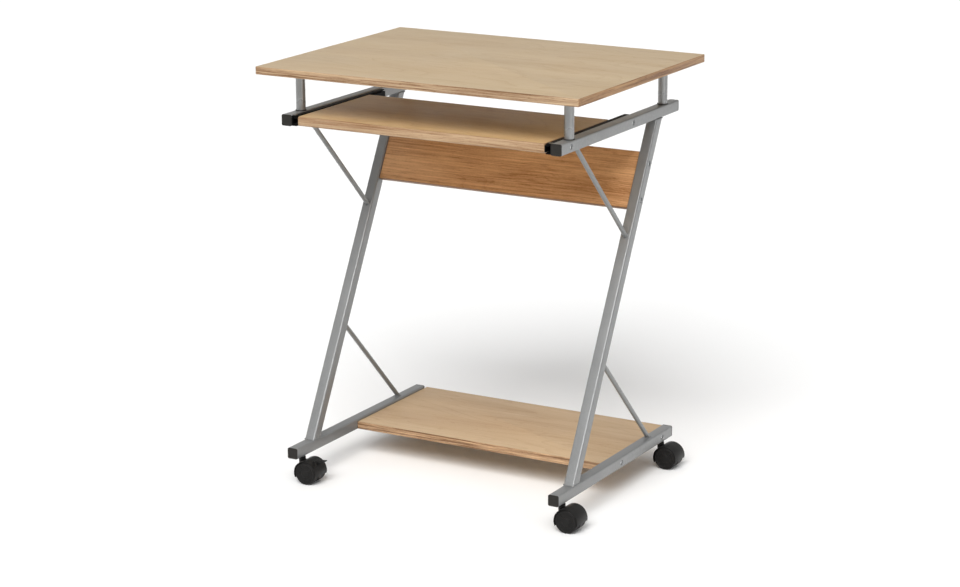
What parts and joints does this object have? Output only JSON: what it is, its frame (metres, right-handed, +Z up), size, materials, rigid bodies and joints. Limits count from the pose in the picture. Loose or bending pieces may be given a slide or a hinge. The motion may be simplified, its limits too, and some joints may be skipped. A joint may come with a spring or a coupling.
{
  "type": "computer desk",
  "caption": "Compact computer desk on castors: wood-effect top on round posts, sliding keyboard tray, slanted square-tube side frames with braces, back panel and lower shelf.",
  "frame": {"origin": "on the floor, under the centre of the desktop", "axes": "+X to the user's right, +Y away from the user, +Z up"},
  "size_m": [0.6, 0.465, 0.7245],
  "materials": {
    "oak_board": "light oak foil on board, satin",
    "oak_board_shaded": "light oak foil on board, satin, warmer",
    "silver_powder_coat": "silver-grey powder coat",
    "black_plastic": "matt black",
    "black_steel": "black coated steel",
    "zinc_steel": "bright zinc",
    "wheel_nylon": "black nylon"
  },
  "bodies": {
    "frame": {"desktop": "oak_board", "back_panel": "oak_board_shaded", "lower_shelf": "oak_board", "arm_tube_left": "silver_powder_coat", "base_tube_left": "silver_powder_coat", "leg_tube_left": "silver_powder_coat", "upper_brace_left": "silver_powder_coat", "lower_brace_left": "silver_powder_coat", "post_front_left": "silver_powder_coat", "post_rear_left": "silver_powder_coat", "arm_cap_front_left": "black_plastic", "arm_cap_rear_left": "black_plastic", "base_cap_front_left": "black_plastic", "base_cap_rear_left": "black_plastic", "slide_outer_rail_left": "black_steel", "arm_tube_right": "silver_powder_coat", "base_tube_right": "silver_powder_coat", "leg_tube_right": "silver_powder_coat", "upper_brace_right": "silver_powder_coat", "lower_brace_right": "silver_powder_coat", "post_front_right": "silver_powder_coat", "post_rear_right": "silver_powder_coat", "arm_cap_front_right": "black_plastic", "arm_cap_rear_right": "black_plastic", "base_cap_front_right": "black_plastic", "base_cap_rear_right": "black_plastic", "slide_outer_rail_right": "black_steel", "castor_stem_front_left": "zinc_steel", "castor_stem_rear_left": "zinc_steel", "castor_stem_front_right": "zinc_steel", "castor_stem_rear_right": "zinc_steel"},
    "tray": {"keyboard_tray": "oak_board", "slide_inner_rail_left": "zinc_steel", "slide_inner_rail_right": "zinc_steel"},
    "ball_cage_left": {"slide_ball_cage_left": "zinc_steel"},
    "ball_cage_right": {"slide_ball_cage_right": "zinc_steel"},
    "castor_front_left": {"castor_housing_front_left": "black_plastic", "castor_axle_front_left": "zinc_steel"},
    "wheel_a_front_left": {"castor_wheel_a_front_left": "wheel_nylon"},
    "wheel_b_front_left": {"castor_wheel_b_front_left": "wheel_nylon"},
    "brake_lever_front_left": {"castor_brake_lever_front_left": "black_plastic"},
    "castor_rear_left": {"castor_housing_rear_left": "black_plastic", "castor_axle_rear_left": "zinc_steel"},
    "wheel_a_rear_left": {"castor_wheel_a_rear_left": "wheel_nylon"},
    "wheel_b_rear_left": {"castor_wheel_b_rear_left": "wheel_nylon"},
    "brake_lever_rear_left": {"castor_brake_lever_rear_left": "black_plastic"},
    "castor_front_right": {"castor_housing_front_right": "black_plastic", "castor_axle_front_right": "zinc_steel"},
    "wheel_a_front_right": {"castor_wheel_a_front_right": "wheel_nylon"},
    "wheel_b_front_right": {"castor_wheel_b_front_right": "wheel_nylon"},
    "castor_rear_right": {"castor_housing_rear_right": "black_plastic", "castor_axle_rear_right": "zinc_steel"},
    "wheel_a_rear_right": {"castor_wheel_a_rear_right": "wheel_nylon"},
    "wheel_b_rear_right": {"castor_wheel_b_rear_right": "wheel_nylon"}
  },
  "joints": [
    {"name": "tray_slide", "type": "slide", "parent": "frame", "child": "tray", "axis": [0, -1, 0], "range_m": [0, 0.2]},
    {"name": "ball_cage_left_slide", "type": "slide", "parent": "frame", "child": "ball_cage_left", "axis": [0, -1, 0], "range_m": [0, 0.1]},
    {"name": "ball_cage_right_slide", "type": "slide", "parent": "frame", "child": "ball_cage_right", "axis": [0, -1, 0], "range_m": [0, 0.1]},
    {"name": "castor_swivel_front_left", "type": "hinge", "parent": "frame", "child": "castor_front_left", "pos_m": [-0.2515, -0.187, 0.036], "axis": [0, 0, 1], "continuous": true},
    {"name": "wheel_spin_a_front_left", "type": "hinge", "parent": "castor_front_left", "child": "wheel_a_front_left", "pos_m": [-0.2355, -0.19865, 0.02], "axis": [0, 1, 0], "continuous": true},
    {"name": "wheel_spin_b_front_left", "type": "hinge", "parent": "castor_front_left", "child": "wheel_b_front_left", "pos_m": [-0.2355, -0.17535, 0.02], "axis": [0, 1, 0], "continuous": true},
    {"name": "brake_front_left_press", "type": "hinge", "parent": "castor_front_left", "child": "brake_lever_front_left", "pos_m": [-0.2215, -0.187, 0.04], "axis": [0, 1, 0], "range_deg": [0, 18]},
    {"name": "castor_swivel_rear_left", "type": "hinge", "parent": "frame", "child": "castor_rear_left", "pos_m": [-0.2515, 0.185, 0.036], "axis": [0, 0, 1], "continuous": true},
    {"name": "wheel_spin_a_rear_left", "type": "hinge", "parent": "castor_rear_left", "child": "wheel_a_rear_left", "pos_m": [-0.2355, 0.17335, 0.02], "axis": [0, 1, 0], "continuous": true},
    {"name": "wheel_spin_b_rear_left", "type": "hinge", "parent": "castor_rear_left", "child": "wheel_b_rear_left", "pos_m": [-0.2355, 0.19665, 0.02], "axis": [0, 1, 0], "continuous": true},
    {"name": "brake_rear_left_press", "type": "hinge", "parent": "castor_rear_left", "child": "brake_lever_rear_left", "pos_m": [-0.2215, 0.185, 0.04], "axis": [0, 1, 0], "range_deg": [0, 18]},
    {"name": "castor_swivel_front_right", "type": "hinge", "parent": "frame", "child": "castor_front_right", "pos_m": [0.2515, -0.187, 0.036], "axis": [0, 0, 1], "continuous": true},
    {"name": "wheel_spin_a_front_right", "type": "hinge", "parent": "castor_front_right", "child": "wheel_a_front_right", "pos_m": [0.2675, -0.19865, 0.02], "axis": [0, 1, 0], "continuous": true},
    {"name": "wheel_spin_b_front_right", "type": "hinge", "parent": "castor_front_right", "child": "wheel_b_front_right", "pos_m": [0.2675, -0.17535, 0.02], "axis": [0, 1, 0], "continuous": true},
    {"name": "castor_swivel_rear_right", "type": "hinge", "parent": "frame", "child": "castor_rear_right", "pos_m": [0.2515, 0.185, 0.036], "axis": [0, 0, 1], "continuous": true},
    {"name": "wheel_spin_a_rear_right", "type": "hinge", "parent": "castor_rear_right", "child": "wheel_a_rear_right", "pos_m": [0.2675, 0.17335, 0.02], "axis": [0, 1, 0], "continuous": true},
    {"name": "wheel_spin_b_rear_right", "type": "hinge", "parent": "castor_rear_right", "child": "wheel_b_rear_right", "pos_m": [0.2675, 0.19665, 0.02], "axis": [0, 1, 0], "continuous": true}
  ],
  "couplings": [
    {"joint": "ball_cage_left_slide", "follows": "tray_slide", "ratio": 0.5},
    {"joint": "ball_cage_right_slide", "follows": "tray_slide", "ratio": 0.5}
  ]
}
